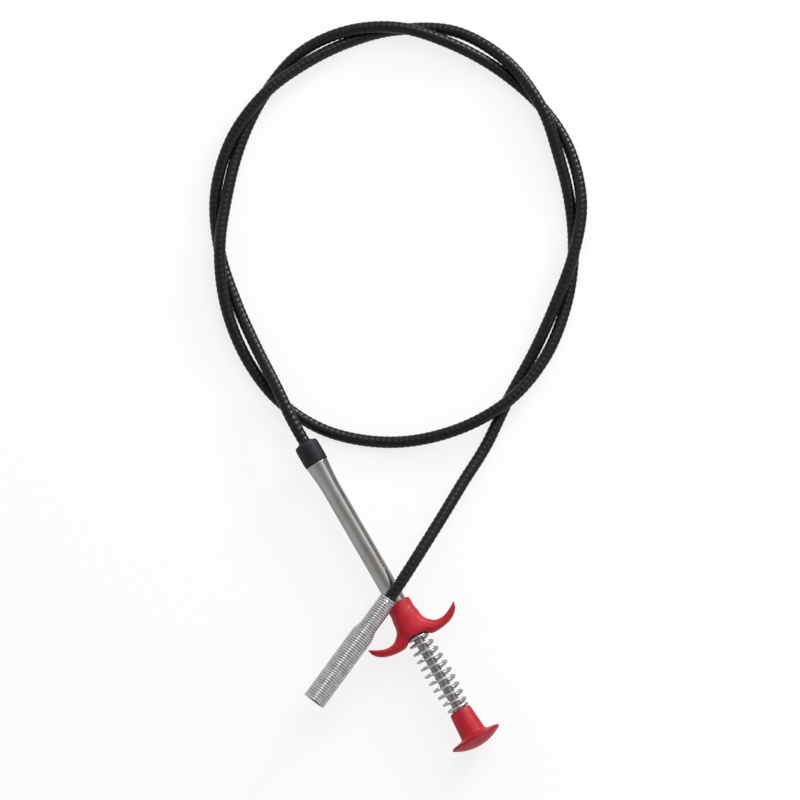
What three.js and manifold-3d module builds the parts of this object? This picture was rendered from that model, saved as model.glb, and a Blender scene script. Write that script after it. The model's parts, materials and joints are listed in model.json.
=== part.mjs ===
// A flexible drain auger with a spring-loaded plunger handle and a retracting four-finger claw.
// Pressing the thumb knob pushes a wire down the long hose, and the claw comes out of the tip coil and opens.
//
// Units are millimetres. The origin is on the surface that the auger lies on, under the handle's axis and
// 95 mm from the front of the cap. +X runs from the hose end to the thumb knob, and +Z is up.
// The handle's axis is horizontal, half a knob's diameter above the surface.

import * as THREE from 'three';
import { mergeVertices } from 'three/addons/utils/BufferGeometryUtils.js';
import Module from 'manifold-3d';

const wasm = await Module();
wasm.setup();

// ---------------------------------------------------------------- driving dimensions

const KNOB_DISC_RADIUS = 14.25;
const AXIS_HEIGHT = KNOB_DISC_RADIUS; // the handle lies on its knob's rim
const GAP = 0.3; // clearance between pieces that touch

const CAP_FRONT = -95;
const CAP_RADIUS = 6.7;
const CAP_LENGTH = 13;
const CAP_CHAMFER = 2;
const CAP_EDGE = 0.5;
const SPIGOT_RADIUS = 4.85;
const SPIGOT_WALL = 0.5;
const SPIGOT_LENGTH = 4.5;

const TUBE_RADIUS = 5.1;
const TUBE_WALL = 0.8;
const BELL_RADIUS = 6.3;
const BELL_LENGTH = 17;
const BELL_CURVE = 1.6; // over 1 flares more towards the cap
const TUBE_START = CAP_FRONT + CAP_LENGTH + GAP;
const TUBE_END = 15;

const COLLAR_RADIUS = 7.25;
const COLLAR_START = 5;
const COLLAR_EDGE = 0.6;
const GRIP_REACH = 26.7; // half of the grip's span, across the handle
const GRIP_REAR = 28.75;
const GRIP_WIDTH = 12; // along Z
const GRIP_ROOT = 15; // the wings' front edges leave the collar here
const SEAT_RADIUS = 5.85;
const SEAT_MOUTH_RADIUS = 7.3;
const SEAT_FACE = 25.2; // the return spring bears on the grip here, in a dip of its rear edge

const ROD_RADIUS = 2.8;
const ROD_START = -4;
const ROD_END = 79;
const BUSH_START = 6;
const BUSH_END = 14;
const STOP_RADIUS = 3.8;
const STOP_LENGTH = 5;
const CRIMP_RADIUS = 1.9;
const CRIMP_LENGTH = 9;

const SPRING_WIRE_RADIUS = 0.75;
const SPRING_TURNS = 11.4;
const SPRING_CLOSED_TURNS = 0.8; // lie nearly flat at each end
const SPRING_CLOSED_RISE = 0.45;
const SPRING_END_RADIUS = 4.85; // to the middle of the wire
const SPRING_BARREL = 2.05; // how much wider the middle coil is
const SPRING_FULLNESS = 0.8; // under 1 widens the barrel sooner

const KNOB_FACE = 71.6; // the return spring pushes on the knob here
const KNOB_NECK_RADIUS = 6.2;
const KNOB_ROOT_RADIUS = 7.1;
const KNOB_FILLET = 1.8;
const KNOB_UNDERSIDE = 87.15;
const KNOB_RIM_EDGE = 0.8;
const KNOB_DOME_BASE = 89.2;
const KNOB_TOP = 93.4;

const HOSE_RADIUS = 3.2;
const HOSE_BORE = 2.6;
const LINER_RADIUS = 2.2;
const LINER_BORE = 1.4;
const WIRE_RADIUS = 0.8;
const HOSE_SIDES = 8;
const HOSE_STEPS = 80;

const STROKE = 28; // travel of the plunger, and of the claw
const FERRULE_START = CAP_FRONT + 4;
const FERRULE_LENGTH = 12;
const FERRULE_RADIUS = 4.05;

const TIP_LENGTH = 68;
const TIP_WIRE = 1.4;
const NECK_RADIUS = 5.05;
const NECK_LENGTH = 19;
const SHOULDER_LENGTH = 5;
const MOUTH_RADIUS = 6.35;
const TIP_POSITION = [1.7, -3.2, 25.2]; // the neck lies across the handle's tube
const TIP_HEADING = -66.1; // degrees from +X, seen from above
const TIP_FERRULE_START = 4; // along the tip, from the start of its neck
const TIP_FERRULE_END = 16.5;
const TIP_FERRULE_RADIUS = 3.35;

const FINGER_COUNT = 4;
const FINGER_WIRE = 0.45;
const FINGER_ROOT = 39; // along the tip
const CLAW_WIRE_START = 19.7;
const HUB_RADIUS = 3.4;
const HUB_LENGTH = 5;

// The route of the hose's centre line, from inside the cap to inside the tip's neck. The two turns of
// the loop are twisted round each other, so each passes over the other in turn, in long low humps.
const HOSE_ROUTE = [
  [-80.5, 0, 14.25],
  [-95, 0, 14.25],
  [-110, 0.3, 14],
  [-130, 2, 11.8],
  [-155, 3.5, 8],
  [-182, 6.5, 4.6],
  [-210, 12.5, 3.4],
  [-238.5, 26, 5.1],
  [-260.5, 48.5, 8.5],
  [-273, 76.5, 10.5],
  [-277, 104, 8.5],
  [-276, 132, 5.1],
  [-269, 158.5, 3.4],
  [-252, 185, 5.1],
  [-223.5, 200.5, 8.5],
  [-192, 204, 10.5],
  [-164.5, 199, 8.5],
  [-137.5, 191, 5.1],
  [-112.5, 178.5, 3.4],
  [-89.5, 160, 5.1],
  [-70.5, 135.5, 8.5],
  [-60, 106, 10.5],
  [-61, 73.5, 8],
  [-72.5, 42, 4.2],
  [-94, 15.5, 3.4],
  [-121, 0.5, 3.4],
  [-150, -4, 5.1],
  [-180.5, 0, 8.5],
  [-209, 12, 10.5],
  [-234, 30.5, 8.5],
  [-257, 52.5, 5.1],
  [-274, 77, 3.4],
  [-284, 104.5, 5.1],
  [-281.5, 132.5, 8.5],
  [-268.5, 158.5, 10.5],
  [-247, 179, 8.5],
  [-221.5, 195, 5.1],
  [-192.5, 205, 3.4],
  [-164, 206, 5.1],
  [-135, 196.5, 8.5],
  [-112.5, 178.5, 10.5],
  [-93.5, 156, 8.5],
  [-77, 133, 5.1],
  [-61, 107, 3.6],
  [-45.5, 84.5, 6],
  [-34, 63.5, 11.5],
  [-22, 42.5, 18.6],
  [-10.5, 21.5, 23.8],
  [-2.4, 6, 25.2],
  [2.5, -5, 25.2],
];

// ---------------------------------------------------------------- materials

function finish(color, roughness, metalness) {
  return new THREE.MeshStandardMaterial({ color, roughness, metalness });
}

const redPlastic = finish(0xc82333, 0.35, 0);
const blackPlastic = finish(0x17181b, 0.4, 0);
const blackVinyl = finish(0x202126, 0.45, 0);
const nickel = finish(0xb5b2ad, 0.22, 1);
const springSteel = finish(0xa9a9a9, 0.3, 1);
const zinc = finish(0xbfc1c4, 0.35, 1);
const brass = finish(0xb89355, 0.35, 1);

// ---------------------------------------------------------------- shared shapes

// A piece turned about the X axis. The profile is a list of [x, radius] that ends on the axis or closes on
// itself.
function turnedGeometry(profile, segments = 24) {
  const points = profile.map(([x, radius]) => new THREE.Vector2(radius, x));
  return new THREE.LatheGeometry(points, segments).rotateZ(-Math.PI / 2);
}

function turned(name, profile, material, segments) {
  const mesh = new THREE.Mesh(turnedGeometry(profile, segments), material);
  mesh.name = name;
  return mesh;
}

// A plain bush: a round sleeve from one x to another.
function sleeve(name, from, to, bore, radius, material) {
  const profile = [[from, bore], [from, radius], [to, radius], [to, bore], [from, bore]];
  return turned(name, profile, material);
}

// A plain round bar.
function bar(name, from, to, radius, material, segments = 16) {
  return turned(name, [[from, 0], [from, radius], [to, radius], [to, 0]], material, segments);
}

function polygon(radius, sides) {
  return Array.from({ length: sides }, (_, i) => {
    const angle = (2 * Math.PI * i) / sides;
    return new THREE.Vector2(radius * Math.cos(angle), radius * Math.sin(angle));
  });
}

// A round bar or tube that follows a curve.
function swept(name, curve, steps, radius, bore, sides, material) {
  const section = new THREE.Shape(polygon(radius, sides));
  if (bore > 0) section.holes.push(new THREE.Path(polygon(bore, sides)));
  const geometry = new THREE.ExtrudeGeometry(section, { steps, extrudePath: curve, bevelEnabled: false });
  const mesh = new THREE.Mesh(geometry, material);
  mesh.name = name;
  return mesh;
}

function toSolid(geometry) {
  const bare = geometry.clone();
  bare.deleteAttribute('normal');
  bare.deleteAttribute('uv');
  const merged = mergeVertices(bare, 1e-3);
  const vertProperties = new Float32Array(merged.attributes.position.array);
  const triVerts = new Uint32Array(merged.index.array);
  return new wasm.Manifold(new wasm.Mesh({ numProp: 3, vertProperties, triVerts }));
}

function fromSolid(solid) {
  const { vertProperties, triVerts } = solid.getMesh();
  const geometry = new THREE.BufferGeometry();
  geometry.setAttribute('position', new THREE.BufferAttribute(vertProperties, 3));
  geometry.setIndex(new THREE.BufferAttribute(triVerts, 1));
  return geometry;
}

// ---------------------------------------------------------------- handle

// The steel tube, belled out where it meets the cap.
function handleTube() {
  const bell = [0, 0.12, 0.3, 0.6, 1].map((share) => {
    const flare = (BELL_RADIUS - TUBE_RADIUS) * (1 - share) ** BELL_CURVE;
    return [TUBE_START + share * BELL_LENGTH, TUBE_RADIUS + flare];
  });
  const outside = [...bell, [TUBE_END, TUBE_RADIUS]];
  const inside = outside.map(([x, radius]) => [x, radius - TUBE_WALL]).reverse();
  return turned('handle_tube', [...outside, ...inside, outside[0]], nickel);
}

// The guide in the tube's end that the plunger's rod slides in.
function guideBush() {
  const radius = TUBE_RADIUS - TUBE_WALL - GAP;
  return sleeve('guide_bush', BUSH_START, BUSH_END, ROD_RADIUS + GAP, radius, brass);
}

// The sleeve that holds the hose's end in the cap.
function hoseAnchor() {
  const end = FERRULE_START + FERRULE_LENGTH;
  return sleeve('hose_anchor_ferrule', FERRULE_START, end, HOSE_RADIUS + GAP, FERRULE_RADIUS, brass);
}

// The plastic cap that the hose comes out of, with a spigot inside the tube's bell.
function endCap() {
  const shoulder = CAP_FRONT + CAP_LENGTH;
  const spigotEnd = shoulder + SPIGOT_LENGTH;
  const profile = [
    [CAP_FRONT, HOSE_RADIUS + GAP],
    [CAP_FRONT, CAP_RADIUS - CAP_CHAMFER],
    [CAP_FRONT + CAP_CHAMFER, CAP_RADIUS],
    [shoulder - CAP_EDGE, CAP_RADIUS],
    [shoulder, CAP_RADIUS - CAP_EDGE],
    [shoulder, SPIGOT_RADIUS],
    [spigotEnd, SPIGOT_RADIUS],
    [spigotEnd, SPIGOT_RADIUS - SPIGOT_WALL],
    [FERRULE_START - GAP, SPIGOT_RADIUS - SPIGOT_WALL],
    [FERRULE_START - GAP, HOSE_RADIUS + GAP],
    [CAP_FRONT, HOSE_RADIUS + GAP],
  ];
  return turned('tube_end_cap', profile, blackPlastic);
}

// The wings' outline, seen from above: a bow whose pointed ends curve towards the hose.
function wingOutline() {
  const front = [
    [18.7, 8],
    [21, 10],
    [23.3, 13],
    [23.6, 17.6],
    [21.7, 22.4],
    [19.1, GRIP_REACH],
  ];
  const rear = [
    [22.5, 25.9],
    [25, 23.8],
    [27.3, 20],
    [GRIP_REAR - 0.2, 15],
    [GRIP_REAR, 9.5],
    [GRIP_REAR - 0.5, 7.4],
    [GRIP_REAR - 2, 5.4],
    [SEAT_FACE, 3.6],
  ];
  const smooth = (points) => {
    const curve = new THREE.SplineCurve(points.map((point) => new THREE.Vector2(...point)));
    return curve.getPoints(2 * points.length);
  };
  const side = [...smooth([[GRIP_ROOT, COLLAR_RADIUS - COLLAR_EDGE], ...front]), ...smooth(rear)];
  const otherSide = side.map(({ x, y }) => new THREE.Vector2(x, -y)).reverse();
  return new THREE.Shape([...side, ...otherSide]);
}

// The finger grip: a round collar on the tube, and two wings for the fingers.
function fingerGrip() {
  const wings = new THREE.ExtrudeGeometry(wingOutline(), { depth: GRIP_WIDTH, bevelEnabled: false });
  wings.translate(0, 0, -GRIP_WIDTH / 2);
  const hub = turnedGeometry([
    [COLLAR_START, 0],
    [COLLAR_START, COLLAR_RADIUS - COLLAR_EDGE],
    [COLLAR_START + COLLAR_EDGE, COLLAR_RADIUS],
    [SEAT_FACE - COLLAR_EDGE, COLLAR_RADIUS],
    [SEAT_FACE, COLLAR_RADIUS - COLLAR_EDGE],
    [SEAT_FACE, 0],
  ]);
  const bore = turnedGeometry([
    [COLLAR_START - 1, 0],
    [COLLAR_START - 1, TUBE_RADIUS + GAP],
    [TUBE_END + GAP, TUBE_RADIUS + GAP],
    [TUBE_END + GAP, ROD_RADIUS + 2 * GAP],
    [SEAT_FACE, ROD_RADIUS + 2 * GAP],
    [SEAT_FACE, SEAT_RADIUS],
    [GRIP_REAR, SEAT_MOUTH_RADIUS],
    [GRIP_REAR + 1, SEAT_MOUTH_RADIUS],
    [GRIP_REAR + 1, 0],
  ]);
  const body = toSolid(wings).add(toSolid(hub)).subtract(toSolid(bore));
  const mesh = new THREE.Mesh(fromSolid(body), redPlastic);
  mesh.name = 'finger_grip';
  return mesh;
}

// The barrel-shaped return spring between the grip and the knob.
class SpringCurve extends THREE.Curve {
  getPoint(share, target = new THREE.Vector3()) {
    const start = SEAT_FACE + GAP + SPRING_WIRE_RADIUS;
    const end = KNOB_FACE - GAP - SPRING_WIRE_RADIUS;
    const turn = SPRING_TURNS * share;
    const fromEnd = Math.min(turn, SPRING_TURNS - turn);
    const pitch = (end - start - 2 * SPRING_CLOSED_RISE) / (SPRING_TURNS - 2 * SPRING_CLOSED_TURNS);
    const closedRise = (fromEnd / SPRING_CLOSED_TURNS) * SPRING_CLOSED_RISE;
    const openRise = SPRING_CLOSED_RISE + pitch * (fromEnd - SPRING_CLOSED_TURNS);
    const rise = fromEnd < SPRING_CLOSED_TURNS ? closedRise : openRise;
    const x = turn < SPRING_TURNS / 2 ? start + rise : end - rise;
    const radius = SPRING_END_RADIUS + SPRING_BARREL * Math.sin(Math.PI * share) ** SPRING_FULLNESS;
    const angle = -2 * Math.PI * turn;
    return target.set(x, radius * Math.cos(angle), radius * Math.sin(angle));
  }
}

function returnSpring() {
  const steps = Math.round(SPRING_TURNS * 11);
  return swept('return_spring', new SpringCurve(), steps, SPRING_WIRE_RADIUS, 0, 6, springSteel);
}

// ---------------------------------------------------------------- plunger

// The mushroom-shaped knob, with a blind bore for the rod. Its body widens through a round fillet into a
// thin disc, and the disc's face is part of a sphere.
function thumbKnob() {
  const rim = KNOB_DISC_RADIUS;
  const rise = KNOB_TOP - KNOB_DOME_BASE;
  const sphere = (rim ** 2 + rise ** 2) / (2 * rise);
  const fillet = [0, 0.5, 1].map((share) => {
    const angle = (share * Math.PI) / 2;
    const x = KNOB_UNDERSIDE - KNOB_FILLET * (1 - Math.sin(angle));
    return [x, KNOB_ROOT_RADIUS + KNOB_FILLET * (1 - Math.cos(angle))];
  });
  const dome = [0.93, 0.8, 0.6, 0.3, 0].map((share) => {
    const radius = share * rim;
    return [KNOB_TOP - sphere + Math.sqrt(sphere ** 2 - radius ** 2), radius];
  });
  return turned('thumb_knob', [
    [ROD_END + GAP, 0],
    [ROD_END + GAP, ROD_RADIUS + GAP],
    [KNOB_FACE, ROD_RADIUS + GAP],
    [KNOB_FACE, KNOB_NECK_RADIUS - KNOB_RIM_EDGE],
    [KNOB_FACE + KNOB_RIM_EDGE, KNOB_NECK_RADIUS],
    ...fillet,
    [KNOB_UNDERSIDE, rim - KNOB_RIM_EDGE],
    [KNOB_UNDERSIDE + KNOB_RIM_EDGE, rim],
    [KNOB_DOME_BASE, rim],
    ...dome,
  ], redPlastic, 36);
}

function plunger() {
  const group = new THREE.Group();
  const stopEnd = BUSH_START - GAP;
  const crimpEnd = ROD_START - GAP;
  const wireEnd = crimpEnd - CRIMP_LENGTH;
  const stopBore = ROD_RADIUS + GAP;
  const wireFront = HOSE_ROUTE[0][0] + STROKE + GAP;
  group.add(thumbKnob());
  group.add(bar('plunger_rod', ROD_START, ROD_END, ROD_RADIUS, springSteel));
  group.add(sleeve('rod_stop_collar', stopEnd - STOP_LENGTH, stopEnd, stopBore, STOP_RADIUS, springSteel));
  group.add(sleeve('wire_crimp_sleeve', wireEnd, crimpEnd, WIRE_RADIUS + GAP, CRIMP_RADIUS, brass));
  group.add(bar('drive_wire', wireFront, crimpEnd, WIRE_RADIUS, springSteel, 12));
  return group;
}

// ---------------------------------------------------------------- hose

function routeCurve(points) {
  const curve = new THREE.CatmullRomCurve3(points, false, 'catmullrom', 0.5);
  curve.arcLengthDivisions = 4000;
  return curve;
}

// The ribbed vinyl jacket, the wound steel liner inside it, and the wire that works the claw. The liner
// and the wire run one step further than the jacket, straight into the tip's ferrule.
function hose() {
  const group = new THREE.Group();
  const points = HOSE_ROUTE.map((point) => new THREE.Vector3(...point));
  const jacketCurve = routeCurve(points);
  const step = jacketCurve.getLength() / HOSE_STEPS;
  const heading = THREE.MathUtils.degToRad(TIP_HEADING);
  const beyond = points.at(-1).clone();
  beyond.x += step * Math.cos(heading);
  beyond.y += step * Math.sin(heading);
  const linerCurve = routeCurve([...points, beyond]);
  const longer = HOSE_STEPS + 1;
  group.add(swept('hose_jacket', jacketCurve, HOSE_STEPS, HOSE_RADIUS, HOSE_BORE, HOSE_SIDES, blackVinyl));
  group.add(swept('hose_liner', linerCurve, longer, LINER_RADIUS, LINER_BORE, HOSE_SIDES, springSteel));
  group.add(swept('core_wire', linerCurve, longer, WIRE_RADIUS, 0, HOSE_SIDES, springSteel));
  return group;
}

// ---------------------------------------------------------------- tip

// The close-wound coil that houses the claw: a narrow neck on the hose, a shoulder, and a wide mouth.
function tipCoil() {
  const outside = [
    [0, NECK_RADIUS],
    [NECK_LENGTH, NECK_RADIUS],
    [NECK_LENGTH + SHOULDER_LENGTH, MOUTH_RADIUS],
    [TIP_LENGTH, MOUTH_RADIUS],
  ];
  const inside = outside.map(([x, radius]) => [x, radius - TIP_WIRE]).reverse();
  return turned('tip_coil', [...outside, ...inside, outside[0]], zinc, 32);
}

// One claw finger, lying along the tip in its own frame: bent out near its root, and hooked in at its end.
function clawFinger(number) {
  const points = [
    [0, 1],
    [2.5, 1.5],
    [6, 2.2],
    [15, 2.3],
    [20.5, 2.6],
    [23.6, 3.2],
    [25.4, 2.8],
    [26, 1.6],
  ];
  const curve = new THREE.CatmullRomCurve3(points.map(([x, out]) => new THREE.Vector3(x, 0, out)));
  const finger = swept('claw_finger_' + number, curve, 16, FINGER_WIRE, 0, 6, springSteel);
  finger.position.x = FINGER_ROOT;
  finger.rotation.x = (2 * Math.PI * (number - 0.5)) / FINGER_COUNT;
  return finger;
}

function tip() {
  const group = new THREE.Group();
  const hubEnd = FINGER_ROOT - GAP;
  const hubStart = hubEnd - HUB_LENGTH;
  group.add(tipCoil());
  const ferruleBore = LINER_RADIUS + GAP;
  const [ferruleStart, ferruleEnd] = [TIP_FERRULE_START, TIP_FERRULE_END];
  group.add(sleeve('tip_ferrule', ferruleStart, ferruleEnd, ferruleBore, TIP_FERRULE_RADIUS, brass));
  group.add(bar('claw_hub', hubStart, hubEnd, HUB_RADIUS, brass));
  group.add(bar('claw_wire', CLAW_WIRE_START, hubStart - GAP, WIRE_RADIUS, springSteel, 12));
  for (let number = 1; number <= FINGER_COUNT; number += 1) group.add(clawFinger(number));
  group.position.set(...TIP_POSITION);
  group.rotation.z = THREE.MathUtils.degToRad(TIP_HEADING);
  return group;
}

// ---------------------------------------------------------------- assembly

const auger = new THREE.Group();
const handle = new THREE.Group();
handle.position.z = AXIS_HEIGHT;
handle.add(handleTube());
handle.add(endCap());
handle.add(fingerGrip());
handle.add(guideBush());
handle.add(hoseAnchor());
handle.add(returnSpring());
handle.add(plunger());
auger.add(handle);
auger.add(hose());
auger.add(tip());

export default auger;
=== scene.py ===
import json
import math

import bmesh
import bpy
import numpy as np
from mathutils import Matrix, Vector


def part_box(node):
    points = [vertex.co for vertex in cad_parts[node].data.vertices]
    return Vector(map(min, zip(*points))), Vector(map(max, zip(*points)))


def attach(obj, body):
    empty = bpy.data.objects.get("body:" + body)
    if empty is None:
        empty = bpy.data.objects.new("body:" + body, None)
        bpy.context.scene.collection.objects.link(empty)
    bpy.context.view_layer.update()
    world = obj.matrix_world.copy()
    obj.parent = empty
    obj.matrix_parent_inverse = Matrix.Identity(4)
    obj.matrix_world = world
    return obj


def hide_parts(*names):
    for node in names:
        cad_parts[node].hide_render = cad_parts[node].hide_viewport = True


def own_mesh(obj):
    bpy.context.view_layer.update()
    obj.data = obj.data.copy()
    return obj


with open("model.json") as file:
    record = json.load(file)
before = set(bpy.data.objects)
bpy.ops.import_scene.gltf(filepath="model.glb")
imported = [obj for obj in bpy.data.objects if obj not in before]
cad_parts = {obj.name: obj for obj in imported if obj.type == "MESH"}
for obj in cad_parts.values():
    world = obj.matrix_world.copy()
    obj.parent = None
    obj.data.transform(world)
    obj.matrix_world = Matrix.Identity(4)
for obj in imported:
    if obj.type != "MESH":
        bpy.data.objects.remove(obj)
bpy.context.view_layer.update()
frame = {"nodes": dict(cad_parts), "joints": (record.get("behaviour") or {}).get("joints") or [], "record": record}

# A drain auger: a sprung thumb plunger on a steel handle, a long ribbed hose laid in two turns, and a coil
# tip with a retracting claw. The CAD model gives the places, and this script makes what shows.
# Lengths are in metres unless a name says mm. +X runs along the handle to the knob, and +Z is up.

scene = bpy.context.scene
MM = 0.001
GAP_MM = 0.3  # left between pieces that touch

# ---------------------------------------------------------------- places, from the frame


def middle(node):
    low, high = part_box(node)
    return (low + high) / 2


def joint(name):
    return next(j for j in frame["joints"] if j["name"] == name)


def along(node, axis):
    """Where a CAD node starts and ends along a direction."""
    reach = [vertex.co @ axis for vertex in frame["nodes"][node].data.vertices]
    return min(reach), max(reach)


AXIS_HEIGHT = middle("handle_tube").z
HANDLE = Matrix.Translation((0, 0, AXIS_HEIGHT))
TIP_AXIS = Vector(joint("claw_slide")["axis"]).normalized()
TIP_ANGLE = math.atan2(TIP_AXIS.y, TIP_AXIS.x)
TIP_FROM, TIP_TO = along("tip_coil", TIP_AXIS)
TIP_LENGTH = TIP_TO - TIP_FROM
TIP_MIDDLE = middle("claw_wire")
TIP_ORIGIN = TIP_MIDDLE + TIP_AXIS * (TIP_FROM - TIP_MIDDLE @ TIP_AXIS)
TIP = Matrix.Translation(TIP_ORIGIN) @ Matrix.Rotation(TIP_ANGLE, 4, "Z")

# The hose's centre line in millimetres, as in the CAD source: out of the cap, twice round, and into the tip.
HOSE_ROUTE_MM = [
    (-80.5, 0, 14.25),
    (-95, 0, 14.25),
    (-110, 0.3, 14),
    (-130, 2, 11.8),
    (-155, 3.5, 8),
    (-182, 6.5, 4.6),
    (-210, 12.5, 3.4),
    (-238.5, 26, 5.1),
    (-260.5, 48.5, 8.5),
    (-273, 76.5, 10.5),
    (-277, 104, 8.5),
    (-276, 132, 5.1),
    (-269, 158.5, 3.4),
    (-252, 185, 5.1),
    (-223.5, 200.5, 8.5),
    (-192, 204, 10.5),
    (-164.5, 199, 8.5),
    (-137.5, 191, 5.1),
    (-112.5, 178.5, 3.4),
    (-89.5, 160, 5.1),
    (-70.5, 135.5, 8.5),
    (-60, 106, 10.5),
    (-61, 73.5, 8),
    (-72.5, 42, 4.2),
    (-94, 15.5, 3.4),
    (-121, 0.5, 3.4),
    (-150, -4, 5.1),
    (-180.5, 0, 8.5),
    (-209, 12, 10.5),
    (-234, 30.5, 8.5),
    (-257, 52.5, 5.1),
    (-274, 77, 3.4),
    (-284, 104.5, 5.1),
    (-281.5, 132.5, 8.5),
    (-268.5, 158.5, 10.5),
    (-247, 179, 8.5),
    (-221.5, 195, 5.1),
    (-192.5, 205, 3.4),
    (-164, 206, 5.1),
    (-135, 196.5, 8.5),
    (-112.5, 178.5, 10.5),
    (-93.5, 156, 8.5),
    (-77, 133, 5.1),
    (-61, 107, 3.6),
    (-45.5, 84.5, 6),
    (-34, 63.5, 11.5),
    (-22, 42.5, 18.6),
    (-10.5, 21.5, 23.8),
    (-2.4, 6, 25.2),
    (2.5, -5, 25.2),
]

# ---------------------------------------------------------------- camera


def add_camera():
    """A long lens, nearly straight down, tipped a little so that the knob's dome shows."""
    tilt = math.radians(8)
    right = Vector((0.5, math.sqrt(0.75), 0))
    up = Vector((-math.sqrt(0.75), 0.5, 0))
    target = Vector((-0.0894, 0.0561, AXIS_HEIGHT))
    view_width = 0.432
    back = math.cos(tilt) * Vector((0, 0, 1)) - math.sin(tilt) * up
    data = bpy.data.cameras.new("camera")
    data.lens = 200
    data.sensor_width = 36
    distance = view_width * data.lens / data.sensor_width
    camera = bpy.data.objects.new("camera", data)
    scene.collection.objects.link(camera)
    turn = Matrix((right, back.cross(right), back)).transposed().to_4x4()
    camera.matrix_world = Matrix.Translation(target + distance * back) @ turn
    scene.camera = camera


add_camera()

# ---------------------------------------------------------------- materials


def add_node(tree, kind, inputs=(), **settings):
    """A node with its settings, and its inputs as (socket, value or output) pairs."""
    node = tree.nodes.new(kind)
    for name, value in settings.items():
        setattr(node, name, value)
    for socket, value in inputs:
        if isinstance(value, bpy.types.NodeSocket):
            tree.links.new(value, node.inputs[socket])
        else:
            node.inputs[socket].default_value = value
    return node


class Recipe:
    """A node material built from the Principled shader, with short names for the nodes used here."""

    def __init__(self, name, color, metallic=0.0, roughness=0.4, **sockets):
        self.material = bpy.data.materials.new(name)
        self.material.use_nodes = True
        self.tree = self.material.node_tree
        self.shader = self.tree.nodes["Principled BSDF"]
        self.material.diffuse_color = (*color, 1)
        self.set("Base Color", (*color, 1))
        self.set("Metallic", metallic)
        self.set("Roughness", roughness)
        for socket, value in sockets.items():
            self.set(socket.replace("_", " "), value)
        self.place = self.node("ShaderNodeTexCoord").outputs["Object"]

    def set(self, socket, value):
        self.shader.inputs[socket].default_value = value

    def node(self, kind, inputs=(), **settings):
        return add_node(self.tree, kind, inputs, **settings)

    def link(self, output, socket):
        self.tree.links.new(output, self.shader.inputs[socket])

    def scaled(self, scale):
        mapping = self.node("ShaderNodeMapping", [("Vector", self.place), ("Scale", scale)])
        return mapping.outputs["Vector"]

    def noise(self, size, detail=3, stretch=(1, 1, 1), roughness=0.5):
        """Noise with features of about that size in metres, drawn out by the stretch."""
        scale = tuple(1 / (size * s) for s in stretch)
        pairs = [("Vector", self.scaled(scale)), ("Scale", 1.0), ("Detail", detail), ("Roughness", roughness)]
        return self.node("ShaderNodeTexNoise", pairs).outputs["Fac"]

    def ramp(self, value, low, high, at=(0.35, 0.65)):
        """The value spread from one number or colour to another."""
        if isinstance(low, (int, float)):
            pairs = [("Value", value), ("From Min", at[0]), ("From Max", at[1])]
            pairs += [("To Min", low), ("To Max", high)]
            return self.node("ShaderNodeMapRange", pairs).outputs["Result"]
        node = self.node("ShaderNodeValToRGB", [("Fac", value)])
        node.color_ramp.elements[0].position = at[0]
        node.color_ramp.elements[0].color = (*low, 1)
        node.color_ramp.elements[1].position = at[1]
        node.color_ramp.elements[1].color = (*high, 1)
        return node.outputs["Color"]

    def math(self, operation, a, b):
        return self.node("ShaderNodeMath", [(0, a), (1, b)], operation=operation).outputs[0]

    def edges(self, low, high):
        """How far out on an outer edge a place is: 0 on flats, 1 on outer edges. It marks wear on black plastic
        and painted edge shade on red plastic.
        """
        sharpness = self.node("ShaderNodeNewGeometry").outputs["Pointiness"]
        return self.ramp(sharpness, 0.0, 1.0, at=(low, high))

    def mix(self, share, first, second):
        """The first colour turned into the second by a share. The sockets are those of a colour mix."""
        node = self.node("ShaderNodeMix", data_type="RGBA")
        for index, value in ((0, share), (6, first), (7, second)):
            if isinstance(value, bpy.types.NodeSocket):
                self.tree.links.new(value, node.inputs[index])
            else:
                node.inputs[index].default_value = (*value, 1)
        return node.outputs[2]

    def bump(self, height, depth, strength=1.0):
        """Raises the surface by the height times a depth in metres."""
        pairs = [("Height", height), ("Distance", depth), ("Strength", strength)]
        self.link(self.node("ShaderNodeBump", pairs).outputs["Normal"], "Normal")


def red_plastic():
    """Glossy moulded plastic, uneven in colour and gloss, with painted shade darkening its outer edges."""
    recipe = Recipe("red_plastic", (0.52, 0.017, 0.031), roughness=0.4, Specular_IOR_Level=0.3)
    recipe.set("Subsurface Weight", 0.06)
    recipe.set("Subsurface Radius", (0.003, 0.0006, 0.0004))
    cloud = recipe.noise(0.009, detail=4)
    color = recipe.ramp(cloud, (0.40, 0.009, 0.018), (0.52, 0.017, 0.031))
    # Painted shade: the outer edges are darkened towards a deep red, standing in for the shade on sides that face
    # away from the light.
    painted_edge_shade = recipe.math("MULTIPLY", recipe.edges(0.506, 0.54), 0.7)
    recipe.link(recipe.mix(painted_edge_shade, color, (0.20, 0.005, 0.012)), "Base Color")
    scuff = recipe.noise(0.0016, detail=5)
    recipe.link(recipe.ramp(scuff, 0.34, 0.46), "Roughness")
    recipe.bump(recipe.noise(0.0022, detail=2), 0.00003, 0.35)
    return recipe.material


def black_plastic():
    """Semi-gloss black moulding with a fine spark-eroded grain."""
    recipe = Recipe("black_plastic", (0.011, 0.011, 0.013), roughness=0.48)
    cloud = recipe.noise(0.004, detail=4)
    color = recipe.ramp(cloud, (0.008, 0.008, 0.011), (0.013, 0.013, 0.018))
    worn = recipe.math("MULTIPLY", recipe.edges(0.53, 0.62), 0.4)
    recipe.link(recipe.mix(worn, color, (0.05, 0.05, 0.055)), "Base Color")
    recipe.set("Specular IOR Level", 0.35)
    recipe.link(recipe.ramp(recipe.noise(0.0012, detail=4), 0.46, 0.6), "Roughness")
    recipe.bump(recipe.noise(0.0005, detail=3), 0.00003, 0.5)
    return recipe.material


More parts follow.
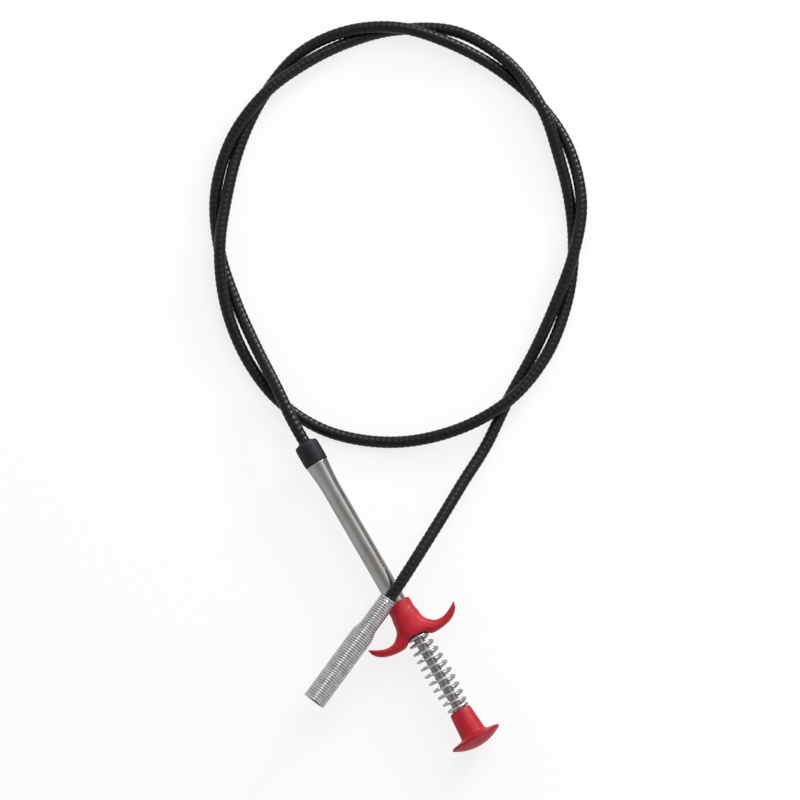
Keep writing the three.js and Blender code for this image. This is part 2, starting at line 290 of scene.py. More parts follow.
def black_vinyl():
    """Soft charcoal vinyl with a speckled, slightly dusty surface."""
    recipe = Recipe("black_vinyl", (0.01, 0.01, 0.012), roughness=0.35, Specular_IOR_Level=0.32)
    fleck = recipe.noise(0.0011, detail=3)
    blotch = recipe.noise(0.012, detail=3)
    shade = recipe.math("ADD", recipe.math("MULTIPLY", fleck, 0.7), recipe.math("MULTIPLY", blotch, 0.3))
    color = recipe.ramp(shade, (0.005, 0.0049, 0.0062), (0.011, 0.0106, 0.0142), at=(0.38, 0.64))
    recipe.link(color, "Base Color")
    recipe.link(recipe.ramp(recipe.noise(0.0018, detail=4), 0.2, 0.34), "Roughness")
    recipe.bump(recipe.noise(0.0007, detail=3), 0.00003, 0.5)
    return recipe.material


def nickel_tube():
    """Bright nickel plate over drawn tube, with fine lines along X and a few handling marks."""
    recipe = Recipe("nickel_tube", (0.66, 0.645, 0.62), metallic=1.0, roughness=0.2)
    lines = recipe.noise(0.0004, detail=3, stretch=(60, 1, 1))
    stain = recipe.noise(0.008, detail=5, stretch=(2.5, 1, 1))
    recipe.link(recipe.ramp(stain, (0.58, 0.55, 0.515), (0.71, 0.69, 0.66)), "Base Color")
    gloss = recipe.math("ADD", recipe.ramp(lines, 0.0, 0.06), recipe.ramp(stain, 0.09, 0.14))
    recipe.link(gloss, "Roughness")
    recipe.bump(lines, 0.00001, 0.4)
    return recipe.material


def bright_wire(name, color, dull, rough):
    """Drawn wire or bar: cloudy plate with a few darker stains."""
    recipe = Recipe(name, color, metallic=1.0, roughness=rough)
    cloud = recipe.noise(0.0035, detail=5)
    recipe.link(recipe.ramp(cloud, dull, color, at=(0.3, 0.6)), "Base Color")
    recipe.link(recipe.ramp(recipe.noise(0.0012, detail=4), rough - 0.06, rough + 0.08), "Roughness")
    recipe.bump(recipe.noise(0.0004, detail=3), 0.00001, 0.4)
    return recipe.material


def brass():
    """Turned brass with lathe lines round X and a slight tarnish."""
    recipe = Recipe("brass", (0.62, 0.45, 0.22), metallic=1.0, roughness=0.3)
    tarnish = recipe.noise(0.003, detail=4)
    recipe.link(recipe.ramp(tarnish, (0.42, 0.28, 0.12), (0.66, 0.49, 0.25)), "Base Color")
    lathe = recipe.noise(0.00025, detail=2, stretch=(1, 40, 40))
    recipe.link(recipe.ramp(lathe, 0.24, 0.38), "Roughness")
    recipe.bump(lathe, 0.00001, 0.5)
    return recipe.material


MATERIALS = {
    "red_plastic": red_plastic(),
    "black_plastic": black_plastic(),
    "black_vinyl": black_vinyl(),
    "nickel_tube": nickel_tube(),
    "spring_steel": bright_wire("spring_steel", (0.80, 0.79, 0.78), (0.62, 0.61, 0.60), 0.30),
    "zinc_wire": bright_wire("zinc_wire", (0.78, 0.78, 0.79), (0.60, 0.60, 0.62), 0.26),
    "brass": brass(),
}

# Painted shade: a darker copy of the bright steel for the plunger rod, standing in for the shade and dark
# reflections it sits in inside the spring.
SHADED_ROD_FINISH = bright_wire("shaded_rod_steel", (0.46, 0.45, 0.44), (0.33, 0.32, 0.31), 0.28)

# ---------------------------------------------------------------- mesh tools


def make_piece(name, vertices, faces, slot, body, replaced=(), sharp=35, finish=None):
    """A smooth-shaded object with its edges over the sharp angle kept crisp, riding on a CAD body. Its
    finish is its slot's unless another is given."""
    mesh = bpy.data.meshes.new(name)
    mesh.from_pydata([tuple(v) for v in vertices], [], faces)
    work = bmesh.new()
    work.from_mesh(mesh)
    bmesh.ops.recalc_face_normals(work, faces=work.faces)
    for face in work.faces:
        face.smooth = True
    for edge in work.edges:
        edge.smooth = len(edge.link_faces) == 2 and edge.calc_face_angle(0) < math.radians(sharp)
    work.to_mesh(mesh)
    work.free()
    mesh.materials.append(finish or MATERIALS[slot])
    piece = bpy.data.objects.new(name, mesh)
    scene.collection.objects.link(piece)
    settle(piece, body, replaced)
    return piece


def settle(piece, body, replaced):
    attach(piece, body)
    if replaced:
        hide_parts(*replaced)


def rounded(corners, steps=4):
    """A profile of (x, radius) or (x, radius, fillet) corners, with each fillet turned into a short curve."""
    points = []
    for i, corner in enumerate(corners):
        here = np.array(corner[:2], float)
        fillet = corner[2] if len(corner) > 2 else 0
        if not fillet:
            points.append(here)
            continue
        before = np.array(corners[i - 1][:2], float) - here
        after = np.array(corners[(i + 1) % len(corners)][:2], float) - here
        start = here + before / np.linalg.norm(before) * fillet
        end = here + after / np.linalg.norm(after) * fillet
        for share in np.linspace(0, 1, steps + 1):
            points.append((1 - share) ** 2 * start + 2 * share * (1 - share) * here + share**2 * end)
    return points


def turned(profile, place, segments=64):
    """Vertices and faces of a profile in mm, turned about the X axis of a place. It closes on itself, or
    starts and ends on the axis."""
    vertices = []
    rings = []
    for x, radius in profile:
        if radius < 1e-6:
            rings.append([len(vertices)])
            vertices.append(place @ Vector((x * MM, 0, 0)))
            continue
        rings.append(range(len(vertices), len(vertices) + segments))
        for i in range(segments):
            angle = 2 * math.pi * i / segments
            ring = (x * MM, radius * MM * math.cos(angle), radius * MM * math.sin(angle))
            vertices.append(place @ Vector(ring))
    pairs = list(zip(rings, rings[1:]))
    if len(rings[0]) > 1:
        pairs.append((rings[-1], rings[0]))
    faces = []
    for first, second in pairs:
        for i in range(segments):
            j = (i + 1) % segments
            corners = [first[i % len(first)], first[j % len(first)], second[j % len(second)]]
            corners.append(second[i % len(second)])
            faces.append(tuple(dict.fromkeys(corners)))
    return vertices, faces


def directions(centres):
    """The heading and two sideways directions at each point of a line, turning no more than they must."""
    heading = np.gradient(centres, axis=0)
    heading /= np.linalg.norm(heading, axis=1)[:, None]
    side = np.empty_like(heading)
    last = np.cross(heading[0], (0.0, 0.0, 1.0))
    if np.linalg.norm(last) < 0.1:
        last = np.cross(heading[0], (0.0, 1.0, 0.0))
    for i, way in enumerate(heading):
        last = last - way * (last @ way)
        last /= np.linalg.norm(last)
        side[i] = last
    return heading, side, np.cross(heading, side)


def swept(centres, radius, sides=12, bore=None):
    """Vertices and faces of a round bar along a line, or of a tube if it has a bore. The radius may be one
    number, or one for each ring, or one for each point of each ring."""
    _, side, up = directions(centres)
    turn = np.linspace(0, 2 * math.pi, sides, endpoint=False)
    out = side[:, None, :] * np.cos(turn)[None, :, None] + up[:, None, :] * np.sin(turn)[None, :, None]
    count = len(centres)
    radii = np.broadcast_to(np.asarray(radius, float).reshape(-1, 1) if np.ndim(radius) == 1 else radius,
                            (count, sides))
    vertices = (centres[:, None, :] + out * radii[:, :, None]).reshape(-1, 3)
    faces = []
    for i in range(count - 1):
        for j in range(sides):
            k = (j + 1) % sides
            faces.append((i * sides + j, i * sides + k, (i + 1) * sides + k, (i + 1) * sides + j))
    last = (count - 1) * sides
    if bore is None:
        faces.append(tuple(range(sides)))
        faces.append(tuple(range(last + sides - 1, last - 1, -1)))
        return vertices, faces
    inner = (centres[:, None, :] + out * bore).reshape(-1, 3)
    offset = len(vertices)
    vertices = np.concatenate([vertices, inner])
    faces += [tuple(offset + corner for corner in reversed(face)) for face in faces]
    for start in (0, last):
        for j in range(sides):
            k = (j + 1) % sides
            faces.append((start + j, start + k, offset + start + k, offset + start + j))
    return vertices, faces


def smooth_line(points, spacing, tension=0.5):
    """Evenly spaced points along the Catmull-Rom curve through the given ones."""
    points = np.array(points, float)
    first = 2 * points[0] - points[1]
    last = 2 * points[-1] - points[-2]
    padded = np.vstack([first, points, last])
    share = np.linspace(0, 1, 60, endpoint=False)[:, None]
    pieces = []
    for a, b, c, d in zip(padded, padded[1:], padded[2:], padded[3:]):
        go, come = tension * (c - a), tension * (d - b)
        cubic = (2 * b - 2 * c + go + come) * share**3 + (3 * c - 3 * b - 2 * go - come) * share**2
        pieces.append(cubic + go * share + b)
    fine = np.vstack([*pieces, points[-1:]])
    run = np.concatenate([[0], np.cumsum(np.linalg.norm(np.diff(fine, axis=0), axis=1))])
    count = round(run[-1] / spacing) + 1
    wanted = np.linspace(0, run[-1], count)
    return np.column_stack([np.interp(wanted, run, column) for column in fine.T]), run[-1]


def placed(points_mm, place):
    """Points in mm in a place's own frame, as metres in the row frame."""
    turn = np.array(place)[:3, :3]
    shift = np.array(place)[:3, 3]
    return np.asarray(points_mm, float) * MM @ turn.T + shift


# ---------------------------------------------------------------- tip coil

COIL_WIRE_MM = 1.41
NECK_MM = 5.05
MOUTH_MM = 6.35
NECK_LENGTH_MM = 19
SHOULDER_MM = 5
COIL_RINGS_PER_TURN = 26


def coil_piece():
    """A close-wound wire: a narrow neck, a shoulder and a wide housing, ground flat at both ends."""
    wire = COIL_WIRE_MM / 2
    length = TIP_LENGTH / MM
    profile = np.array([
        (wire, NECK_MM - wire),
        (NECK_LENGTH_MM, NECK_MM - wire),
        (NECK_LENGTH_MM + SHOULDER_MM, MOUTH_MM - wire),
        (length + wire, MOUTH_MM - wire),
    ])
    run = np.concatenate([[0], np.cumsum(np.linalg.norm(np.diff(profile, axis=0), axis=1))])
    turns = run[-1] / COIL_WIRE_MM
    share = np.linspace(0, 1, round(turns * COIL_RINGS_PER_TURN))
    x = np.interp(share * run[-1], run, profile[:, 0])
    radius = np.interp(share * run[-1], run, profile[:, 1])
    angle = 2 * math.pi * turns * share
    helix = np.column_stack([x, radius * np.cos(angle), radius * np.sin(angle)])
    vertices, faces = swept(helix, wire, sides=10)
    vertices[:, 0] = np.clip(vertices[:, 0], 0, length)
    return make_piece("tip_coil_wire", placed(vertices, TIP), faces, "zinc_wire", "handle", ["tip_coil"])


# ---------------------------------------------------------------- hose

HOSE_RADIUS = 0.0032
HOSE_BORE = 0.00255
RIB_PITCH = 0.0032
RIB_HEIGHT = 0.00018
RIB_PROUD = 0.00006  # how far the ribs' tops stand outside the CAD radius
RING_SPACING = 0.0005
LINER_RADIUS = 0.0022
LINER_BORE = 0.0014
WIRE_RADIUS = 0.0008
LINER_BEYOND = 0.0165  # how far the liner and the wire run on into the tip


def hose_pieces():
    """The ribbed jacket, with the liner and the core wire inside it."""
    route = np.array(HOSE_ROUTE_MM) * MM
    centres, length = smooth_line(route, RING_SPACING)
    sides = 18
    distance = np.linspace(0, length, len(centres))[:, None]
    turn = np.linspace(0, 2 * math.pi, sides, endpoint=False)[None, :]
    wave = 0.5 + 0.5 * np.cos(2 * math.pi * distance / RIB_PITCH - turn)
    radius = HOSE_RADIUS + RIB_PROUD - RIB_HEIGHT * (1 - wave) ** 2
    vertices, faces = swept(centres, radius, sides, bore=HOSE_BORE)
    jacket = make_piece("hose_ribbed_jacket", vertices, faces, "black_vinyl", "handle",
                        ["hose_jacket"], sharp=60)

    beyond = route[-1] + np.array(TIP_AXIS) * LINER_BEYOND
    inner, _ = smooth_line(np.vstack([route, beyond]), 4 * RING_SPACING)
    vertices, faces = swept(inner, LINER_RADIUS, 12, bore=LINER_BORE)
    make_piece("hose_conduit", vertices, faces, "spring_steel", "handle", ["hose_liner"])
    vertices, faces = swept(inner, WIRE_RADIUS, 8)
    make_piece("hose_core_wire", vertices, faces, "spring_steel", "handle", ["core_wire"])
    return jacket, centres, length


tip_coil = coil_piece()
hose, hose_path, hose_length = hose_pieces()

# ---------------------------------------------------------------- handle

TUBE_RADIUS_MM = 5.1
TUBE_BORE_MM = 4.3
TUBE_WALL_MM = 0.8
RIM_MM = 0.3
BELL_LENGTH_MM = 17
BELL_FLARE_MM = 1.2
BELL_BORE_MM = 5.5
BELL_CURVE = 1.6  # over 1 flares more towards the cap
CAP_LENGTH_MM = 13
CAP_BORE_MM = 3.5
SPIGOT_MM = 4.85
SPIGOT_BORE_MM = 4.35


def handle_tube():
    """Drawn tube with thin rolled rims, belled out to take the cap's spigot."""
    start, end = (corner.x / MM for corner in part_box("handle_tube"))
    bell = []
    for share in np.linspace(0, 1, 12):
        flare = BELL_FLARE_MM * (1 - share) ** BELL_CURVE
        bell.append((start + BELL_LENGTH_MM * share, TUBE_RADIUS_MM + flare))
    outside = [(*bell[0], RIM_MM), *bell[1:], (end, TUBE_RADIUS_MM, RIM_MM)]
    inside = [
        (end, TUBE_BORE_MM, RIM_MM),
        (bell[-1][0], TUBE_BORE_MM),
        (bell[4][0], bell[4][1] - TUBE_WALL_MM),
        (start, BELL_BORE_MM, RIM_MM),
    ]
    vertices, faces = turned(rounded(outside + inside), HANDLE, 72)
    make_piece("handle_tube_plated", vertices, faces, "nickel_tube", "handle", ["handle_tube"])


def end_cap():
    """The black cap: a rounded barrel with a soft lip round the hose and a fine seam by the tube."""
    low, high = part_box("tube_end_cap")
    front, spigot_end = low.x / MM, high.x / MM
    shoulder = front + CAP_LENGTH_MM
    profile = rounded([
        (front + 4, CAP_BORE_MM),
        (front - 0.2, CAP_BORE_MM, 0.2),
        (front - 0.2, 4.0, 0.4),
        (front + 0.6, 4.5, 0.5),
        (front + 0.75, 6.3, 0.8),
        (front + 2.2, 6.62, 0.8),
        (front + 6.0, 6.7),
        (shoulder - 1.5, 6.7, 0.15),
        (shoulder - 1.3, 6.5, 0.1),
        (shoulder - 1.0, 6.5, 0.1),
        (shoulder - 0.8, 6.7, 0.15),
        (shoulder, 6.6, 0.3),
        (shoulder, SPIGOT_MM),
        (spigot_end, SPIGOT_MM, 0.3),
        (spigot_end, SPIGOT_BORE_MM),
        (front + 4, SPIGOT_BORE_MM),
    ])
    vertices, faces = turned(profile, HANDLE, 72)
    make_piece("tube_end_cap_moulded", vertices, faces, "black_plastic", "handle", ["tube_end_cap"])


def outline_distance(x, y, outline):
    """Signed distance in the plane from each place to a closed outline, less than 0 inside."""
    ends = list(zip(outline, outline[1:] + outline[:1]))
    nearest = np.inf
    inside = np.zeros(np.broadcast(x, y).shape, bool)
    for (ax, ay), (bx, by) in ends:
        dx, dy = bx - ax, by - ay
        share = np.clip(((x - ax) * dx + (y - ay) * dy) / (dx * dx + dy * dy), 0, 1)
        nearest = np.minimum(nearest, np.hypot(x - ax - share * dx, y - ay - share * dy))
        if dy:
            inside ^= ((ay > y) != (by > y)) & (x < ax + dx * (y - ay) / dy)
    return np.where(inside, -nearest, nearest)


def merged(first, second, blend):
    """Both shapes together, with a round fillet of about that size where they meet."""
    share = np.clip(0.5 + 0.5 * (second - first) / blend, 0, 1)
    return second + (first - second) * share - blend * share * (1 - share)


def surface(field, origin, step):
    """Quads on the zero level of a field sampled on a grid: one vertex in each cell that it crosses."""
    inside = field < 0
    corner = [inside[i:i - 1 or None, j:j - 1 or None, k:k - 1 or None]
              for i in (0, 1) for j in (0, 1) for k in (0, 1)]
    count = sum(c.astype(int) for c in corner)
    crossed = (count > 0) & (count < 8)
    index = np.full(crossed.shape, -1)
    index[crossed] = np.arange(crossed.sum())
    total = np.zeros((*crossed.shape, 3))
    hits = np.zeros(crossed.shape)
    for axis in range(3):
        near = np.moveaxis(field, axis, 0)[:-1]
        far = np.moveaxis(field, axis, 0)[1:]
        cut = (near < 0) != (far < 0)
        place = np.where(cut, near / np.where(cut, near - far, 1), 0)
        cut = np.moveaxis(cut, 0, axis)
        place = np.moveaxis(place, 0, axis)
        others = [k for k in range(3) if k != axis]
        for p in (0, 1):
            for q in (0, 1):
                pick = [slice(None)] * 3
                pick[others[0]] = slice(p, -1 if p == 0 else None)
                pick[others[1]] = slice(q, -1 if q == 0 else None)
                hit = cut[tuple(pick)]
                point = np.zeros((*hit.shape, 3))
                point[..., axis] = place[tuple(pick)]
                point[..., others[0]] = p
                point[..., others[1]] = q
                total += point * hit[..., None]
                hits += hit
    cells = np.argwhere(crossed)
    vertices = origin + (cells + total[crossed] / hits[crossed][:, None]) * step
    faces = []
    for axis in range(3):
        near = np.moveaxis(inside, axis, 0)[:-1]
        far = np.moveaxis(inside, axis, 0)[1:]
        change = np.moveaxis(near != far, 0, axis)
        others = [k for k in range(3) if k != axis]
        back = [np.array([int(k == other) for k in range(3)]) for other in others]
        for cell in np.argwhere(change):
            around = (cell, cell - back[0], cell - back[0] - back[1], cell - back[1])
            faces.append(tuple(int(index[tuple(c)]) for c in around))
    return vertices, faces


COLLAR_RADIUS_MM = 6.95
COLLAR_EDGE_MM = 0.9
RIDGE_MM = 0.3
RIDGE_START_MM = 12.9
RIDGE_SLOPE_MM = 0.25
COLLAR_TAPER_MM = 0.12
WING_FILLET_MM = 2.6
WING_CROWN = 0.62  # under 1 rounds the wings over more in height than in plan
# Half the wings' thickness, and how round their edges are, by how far out they reach.
WING_THICKNESS_MM = [(0, 6.3), (5, 6.2), (9, 5.6), (14, 5.1), (20, 4.6), (27, 3.4)]
WING_SOFTNESS_MM = [(0, 3.2), (7, 3.0), (12, 2.4), (27, 1.6)]


def wing_outline():
    """Half of the grip seen from above: the front edge to the wing's tip, and the rear edge to the seat."""
    front = [(11, 4.8), (13.2, 6.3), (16, 7.0), (18.7, 8.2), (21, 10.1), (23.2, 13), (23.6, 17.6)]
    front += [(21.7, 22.4), (19.3, 26.6)]
    rear = [(22.5, 25.8), (25, 23.7), (27.2, 20), (28.4, 15), (28.7, 10), (28.3, 7.8), (27, 5.9), (25.4, 4)]
    half = [*smooth_line(front, 0.8)[0], *smooth_line(rear, 0.8)[0]]
    return [tuple(point) for point in half] + [(x, -y) for x, y in reversed(half)]


def grip_field(x, y, z, start, seat):
    """The moulding: a collar with a low ridge, flowing into two wings, and bored for tube, rod and spring."""
    out = np.hypot(y, z)
    ridge = RIDGE_MM / (1 + np.exp(-(x - RIDGE_START_MM) / RIDGE_SLOPE_MM))
    barrel = COLLAR_RADIUS_MM + ridge - COLLAR_TAPER_MM * np.clip((x - 14) / 3, 0, 1)
    edge = COLLAR_EDGE_MM
    along = np.maximum(start + edge - x, x - (seat - edge))
    around = out - (barrel - edge)
    collar = np.hypot(np.maximum(along, 0), np.maximum(around, 0)) - edge
    collar += np.minimum(np.maximum(along, around), 0)

    reach = abs(y)
    thick = np.interp(reach, *zip(*WING_THICKNESS_MM))
    soft = np.interp(reach, *zip(*WING_SOFTNESS_MM))
    flat = outline_distance(x, y, wing_outline()) + soft
    tall = WING_CROWN * (abs(z) - thick) + soft
    wings = np.hypot(np.maximum(flat, 0), np.maximum(tall, 0)) - soft + np.minimum(np.maximum(flat, tall), 0)
    solid = merged(collar, wings, WING_FILLET_MM)

    bores = [
        (start, 5.7),
        (start + 0.5, 5.4),
        (15.3, 5.4),
        (15.301, 3.4),
        (seat - 0.001, 3.4),
        (seat, 5.85),
        (28.75, 7.3),
        (30, 7.5),
    ]
    return np.maximum(solid, np.interp(x, *zip(*bores)) - out)


def finger_grip():
    """A moulded collar that flows into two finger wings."""
    low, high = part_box("finger_grip")
    start = low.x / MM
    seat = joint("plunger_slide")["deforming_nodes"][0]["fixed_end_x_m"] / MM - GAP_MM
    reach = high.y / MM + 1
    step = 0.4
    limits = [(start - 1, high.x / MM + 1), (-reach, reach), (-8.4, 8.4)]
    axes = [np.arange(least, most, step) for least, most in limits]
    grid = np.meshgrid(*axes, indexing="ij", sparse=True)
    field = grip_field(*grid, start, seat)
    origin = np.array([axis[0] for axis in axes])
    vertices, faces = surface(field, origin, step)
    vertices = settled_on(vertices, lambda x, y, z: grip_field(x, y, z, start, seat))
    make_piece("finger_grip_moulded", placed(vertices, HANDLE), faces, "red_plastic", "handle",
               ["finger_grip"], sharp=50)


def settled_on(vertices, field):
    """The vertices moved a little at a time until they lie on the field's zero level."""
    small = 0.05
    least_slope = 0.2
    most = 0.15
    pace = 0.8
    for _ in range(3):
        value = field(*vertices.T)
        slope = np.empty_like(vertices)
        for axis in range(3):
            shift = np.zeros(3)
            shift[axis] = small
            slope[:, axis] = (field(*(vertices + shift).T) - field(*(vertices - shift).T)) / (2 * small)
        size = np.maximum((slope**2).sum(axis=1), least_slope)
        move = np.clip(value / size, -most, most)
        vertices = vertices - slope * move[:, None] * pace
    return vertices


SPRING_WIRE_MM = 0.75  # its radius
SPRING_TURNS = 11.4
SPRING_CLOSED_TURNS = 0.8
SPRING_CLOSED_MM = 0.45
SPRING_END_MM = 4.85
SPRING_BARREL_MM = 2.05
SPRING_FULLNESS = 0.8  # under 1 widens the barrel sooner
SPRING_EASE = 8  # the rings each side over which the closed ends open out


def return_spring():
    """The barrel-shaped spring, with close end turns, on a mesh of its own."""
    seat = joint("plunger_slide")["deforming_nodes"][0]["fixed_end_x_m"] / MM
    knob_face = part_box("thumb_knob")[0].x / MM
    start, end = seat + SPRING_WIRE_MM, knob_face - GAP_MM - SPRING_WIRE_MM
    turn = np.linspace(0, SPRING_TURNS, round(SPRING_TURNS * 48))
    knots = [0, SPRING_CLOSED_TURNS, SPRING_TURNS - SPRING_CLOSED_TURNS, SPRING_TURNS]
    x = np.interp(turn, knots, [start, start + SPRING_CLOSED_MM, end - SPRING_CLOSED_MM, end])
    window = 2 * SPRING_EASE + 1
    x = np.convolve(np.pad(x, SPRING_EASE, mode="edge"), np.ones(window) / window, mode="valid")
    bulge = np.sin(math.pi * turn / SPRING_TURNS) ** SPRING_FULLNESS
    radius = SPRING_END_MM + SPRING_BARREL_MM * bulge
    angle = -2 * math.pi * turn
    helix = np.column_stack([x, radius * np.cos(angle), radius * np.sin(angle)])
    vertices, faces = swept(helix, SPRING_WIRE_MM, sides=12)
    spring = make_piece("return_spring_wound", placed(vertices, HANDLE), faces, "spring_steel", "handle",
                        ["return_spring"])
    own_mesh(spring)


# ---------------------------------------------------------------- plunger

KNOB_DOME_MM = 4.2
KNOB_BODY_MM = 7.05
KNOB_FILLET_MM = 1.9
KNOB_FILLET_END_MM = 6.35
KNOB_BORE_MM = 3.1
ROD_RADIUS_MM = 2.8


def thumb_knob():
    """The mushroom knob: a slightly flared body, a round fillet, a thin disc and a shallow dome."""
    low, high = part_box("thumb_knob")
    face, top = low.x / MM, high.x / MM
    rim = (high.z - low.z) / 2 / MM
    base = top - KNOB_DOME_MM
    sphere = (rim**2 + KNOB_DOME_MM**2) / (2 * KNOB_DOME_MM)
    dome = [(top - sphere + math.sqrt(sphere**2 - r**2), r) for r in np.linspace(rim - 0.9, 0, 16)]
    fillet = []
    for a in np.linspace(0, math.pi / 2, 9):
        x = top - KNOB_FILLET_END_MM - KNOB_FILLET_MM * (1 - math.sin(a))
        fillet.append((x, KNOB_BODY_MM + KNOB_FILLET_MM * (1 - math.cos(a))))
    rod_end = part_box("plunger_rod")[1].x / MM + GAP_MM
    profile = rounded([
        (rod_end, 0),
        (rod_end, KNOB_BORE_MM),
        (face, KNOB_BORE_MM, 0.3),
        (face, 5.9, 0.6),
        (face + 3, 6.3),
        *fillet,
        (top - 5.6, rim - 1.2),
        (top - 5.2, rim - 0.1, 0.5),
        (base + 0.1, rim, 0.5),
        *dome,
    ])
    vertices, faces = turned(profile, HANDLE, 96)
    make_piece("thumb_knob_moulded", vertices, faces, "red_plastic", "plunger", ["thumb_knob"])


def plunger_rod():
    """The ground rod, with its ends' edges broken."""
    start, end = (corner.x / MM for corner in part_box("plunger_rod"))
    profile = rounded([(start, 0), (start, ROD_RADIUS_MM, 0.4), (end, ROD_RADIUS_MM, 0.4), (end, 0)])
    vertices, faces = turned(profile, HANDLE, 40)
    # Its finish is the darker steel copy, which is painted shade.
    make_piece("plunger_rod_ground", vertices, faces, "spring_steel", "plunger", ["plunger_rod"],
               finish=SHADED_ROD_FINISH)


# ---------------------------------------------------------------- claw

HUB_RADIUS_MM = 3.4
GROOVE_RADIUS_MM = 3.1
FINGER_WIRE_MM = 0.45  # its radius
FINGER_COUNT = 4


def claw_hub():
    """The brass hub: grooved, with a rounded nose between the fingers."""
    start, end = ((reach - TIP_FROM) / MM for reach in along("claw_hub", TIP_AXIS))
    profile = rounded([
        (start, 0),
        (start, HUB_RADIUS_MM, 0.4),
        (start + 1.6, HUB_RADIUS_MM, 0.1),
        (start + 1.8, GROOVE_RADIUS_MM, 0.1),
        (start + 2.4, GROOVE_RADIUS_MM, 0.1),
        (start + 2.6, HUB_RADIUS_MM, 0.1),
        (end, HUB_RADIUS_MM, 0.5),
        (end, 0),
    ])
    vertices, faces = turned(profile, TIP, 40)
    make_piece("claw_hub_turned", vertices, faces, "brass", "claw", ["claw_hub"])


def claw_finger(number):
    """One springy finger, bent out near its root and hooked in at its end."""
    outline = [(0, 1), (2.5, 1.5), (6, 2.2), (15, 2.3), (20.5, 2.6), (23.6, 3.2), (25.4, 2.8), (26, 1.6)]
    node = f"claw_finger_{number}"
    root = (along(node, TIP_AXIS)[0] - TIP_FROM) / MM
    line, _ = smooth_line([(root + x, 0, out) for x, out in outline], 0.4)
    place = TIP @ Matrix.Rotation(2 * math.pi * (number - 0.5) / FINGER_COUNT, 4, "X")
    vertices, faces = swept(line, FINGER_WIRE_MM, 10)
    make_piece(f"{node}_wire", placed(vertices, place), faces, "spring_steel", f"finger_{number}", [node])


handle_tube()
end_cap()
finger_grip()
return_spring()
thumb_knob()
plunger_rod()
claw_hub()
for finger in range(1, FINGER_COUNT + 1):
    claw_finger(finger)


def carried_over():
    """CAD nodes that stay, each with the finish of its slot."""
    for subpart in frame["record"]["subparts"]:
        node = frame["nodes"][subpart["node"]]
        if not node.hide_render:
            node.data.materials.clear()
            node.data.materials.append(MATERIALS[subpart["material_slot"]])


carried_over()

# ---------------------------------------------------------------- floor and light


def add_floor():
    """A wide pale floor that takes the shadows. It is left out of reflections."""
    mesh = bpy.data.meshes.new("floor")
    half = 6
    corners = [(-half, -half, 0), (half, -half, 0), (half, half, 0), (-half, half, 0)]
    mesh.from_pydata(corners, [], [(0, 1, 2, 3)])
    recipe = Recipe("floor", (0.18, 0.18, 0.18), roughness=0.9)
    recipe.set("Specular IOR Level", 0.0)
    recipe.set("Emission Color", (1, 1, 1, 1))
    recipe.set("Emission Strength", 0.8)
    mesh.materials.append(recipe.material)
    floor = bpy.data.objects.new("floor", mesh)
    scene.collection.objects.link(floor)
    floor.visible_glossy = False


LIT_POINT = Vector((-0.09, 0.06, 0))


def add_light(name, direction, distance, size, long_axis, watts, glossy=True):
    """A rectangular soft light that faces the object. One that is not glossy leaves no reflection."""
    data = bpy.data.lights.new(name, "AREA")
    data.shape = "RECTANGLE"
    data.size, data.size_y = size
    data.energy = watts
    light = bpy.data.objects.new(name, data)
    light.visible_glossy = glossy
    light.visible_camera = False
    scene.collection.objects.link(light)
    back = Vector(direction).normalized()
    side = (Vector(long_axis) - back * (Vector(long_axis) @ back)).normalized()
    turn = Matrix((side, back.cross(side), back)).transposed().to_4x4()
    light.matrix_world = Matrix.Translation(LIT_POINT + back * distance) @ turn


# How bright the dome is, by degrees from straight up round the handle's axis, + towards +Y.
DOME_ROUND = [
    (-180, 0.5),
    (-120, 0.38),
    (-85, 0.44),
    (-55, 0.40),
    (-30, 0.30),
    (-8, 0.24),
    (15, 0.30),
    (36, 0.52),
    (52, 0.95),
    (64, 0.50),
    (76, 0.20),
    (90, 0.22),
    (108, 0.36),
    (140, 0.5),
    (180, 0.5),
]
# What is added towards the ends of the dome, by how far along X a direction points.
DOME_ENDS = [(-0.6, 0.18), (-0.32, 0.14), (-0.14, 0), (0.6, 0), (0.94, 0.28)]
BANNER_ROLL = math.radians(-14)
BANNER_LEVEL = 1.7
BANNER_EDGE = (0.06, 0.24)  # fades out sideways
BANNER_END = (0.15, 0.45)  # begins behind the tip
HORIZON_FADE = (0, 0.25)
BACKDROP = (0.87, 0.87, 0.875, 1)


def dome_ramp(tree, value, low, high, stops):
    """The brightness at a value, from stops given between the low and high values."""
    pairs = [("Value", value), ("From Min", low), ("From Max", high)]
    share = add_node(tree, "ShaderNodeMapRange", pairs).outputs["Result"]
    node = add_node(tree, "ShaderNodeValToRGB", [("Fac", share)])
    elements = node.color_ramp.elements
    for i, (place, level) in enumerate(stops):
        position = (place - low) / (high - low)
        element = elements[i] if i < 2 else elements.new(position)
        element.position = position
        element.color = (level, level, level * 1.02, 1)
    return node.outputs["Color"]


def dome_fall(tree, value, near, far, start, end):
    """A soft step from start to end between two values."""
    pairs = [("Value", value), ("From Min", near), ("From Max", far), ("To Min", start), ("To Max", end)]
    return add_node(tree, "ShaderNodeMapRange", pairs, interpolation_type="SMOOTHSTEP").outputs["Result"]


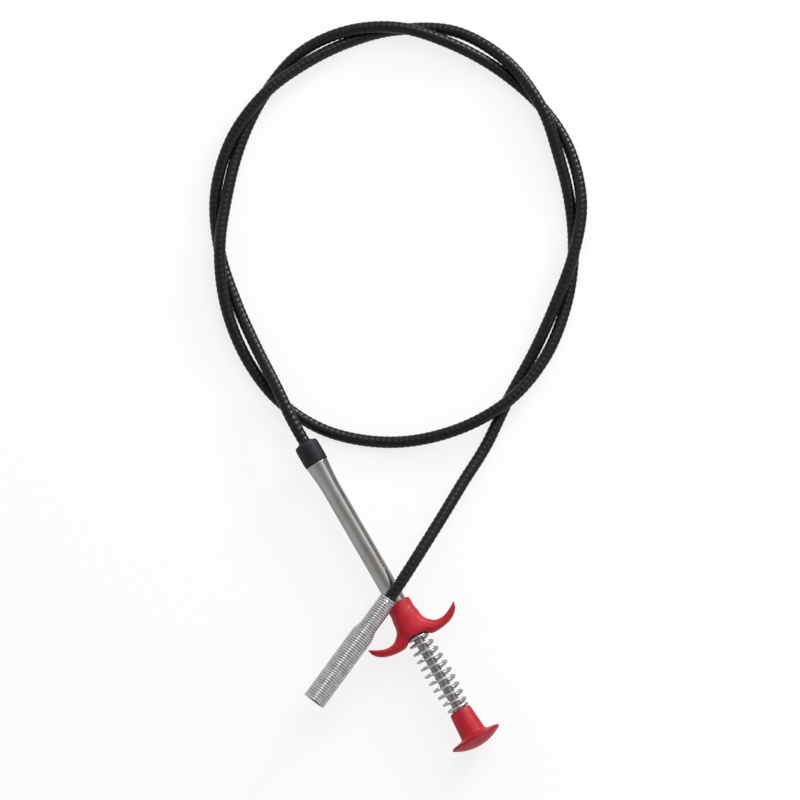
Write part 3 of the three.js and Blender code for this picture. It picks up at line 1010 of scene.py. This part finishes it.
def dome_banner(tree, way):
    """A long narrow strip of light above the tip, which its coil's wires reflect. It leans from straight
    up towards the hose, and ends at the horizon."""
    up = Vector((0, 0, 1))
    across = -math.cos(BANNER_ROLL) * TIP_AXIS.cross(up) - math.sin(BANNER_ROLL) * up
    dots = []
    for axis in (across, -TIP_AXIS, up):
        pairs = [(0, way), (1, axis)]
        dots.append(add_node(tree, "ShaderNodeVectorMath", pairs, operation="DOT_PRODUCT").outputs["Value"])
    off_centre = add_node(tree, "ShaderNodeMath", [(0, dots[0])], operation="ABSOLUTE").outputs[0]
    glow = dome_fall(tree, off_centre, *BANNER_EDGE, BANNER_LEVEL, 0)
    for dot, fade in ((dots[1], BANNER_END), (dots[2], HORIZON_FADE)):
        limit = dome_fall(tree, dot, *fade, 0, 1)
        glow = add_node(tree, "ShaderNodeMath", [(0, glow), (1, limit)], operation="MULTIPLY").outputs[0]
    return glow


def add_world():
    """A dim studio dome that lights and is reflected, behind a plain pale backdrop."""
    world = bpy.data.worlds.new("studio")
    scene.world = world
    world.use_nodes = True
    tree = world.node_tree
    way = add_node(tree, "ShaderNodeTexCoord").outputs["Generated"]
    parts = add_node(tree, "ShaderNodeSeparateXYZ", [(0, way)]).outputs
    pairs = [(0, parts["Y"]), (1, parts["Z"])]
    angle = add_node(tree, "ShaderNodeMath", pairs, operation="ARCTAN2").outputs[0]
    turns = [(math.radians(degrees), level) for degrees, level in DOME_ROUND]
    total = dome_ramp(tree, angle, -math.pi, math.pi, turns)
    for extra in (dome_ramp(tree, parts["X"], -1, 1, DOME_ENDS), dome_banner(tree, way)):
        pairs = [("Fac", 1), (1, total), (2, extra)]
        total = add_node(tree, "ShaderNodeMixRGB", pairs, blend_type="ADD").outputs["Color"]
    seen = add_node(tree, "ShaderNodeLightPath").outputs["Is Camera Ray"]
    pairs = [("Fac", seen), (1, total), (2, BACKDROP)]
    backdrop = add_node(tree, "ShaderNodeMixRGB", pairs).outputs["Color"]
    tree.links.new(backdrop, tree.nodes["Background"].inputs["Color"])


add_floor()
add_light("key", (-0.36, 0.86, 0.36), 1.6, (0.36, 0.22), (1, 0.5, 0), 11)
add_light("soft_key", (-0.25, 0.48, 0.84), 1.6, (1.6, 1.4), (1, 0.5, 0), 13, glossy=False)
add_world()
scene.view_settings.view_transform = "Standard"
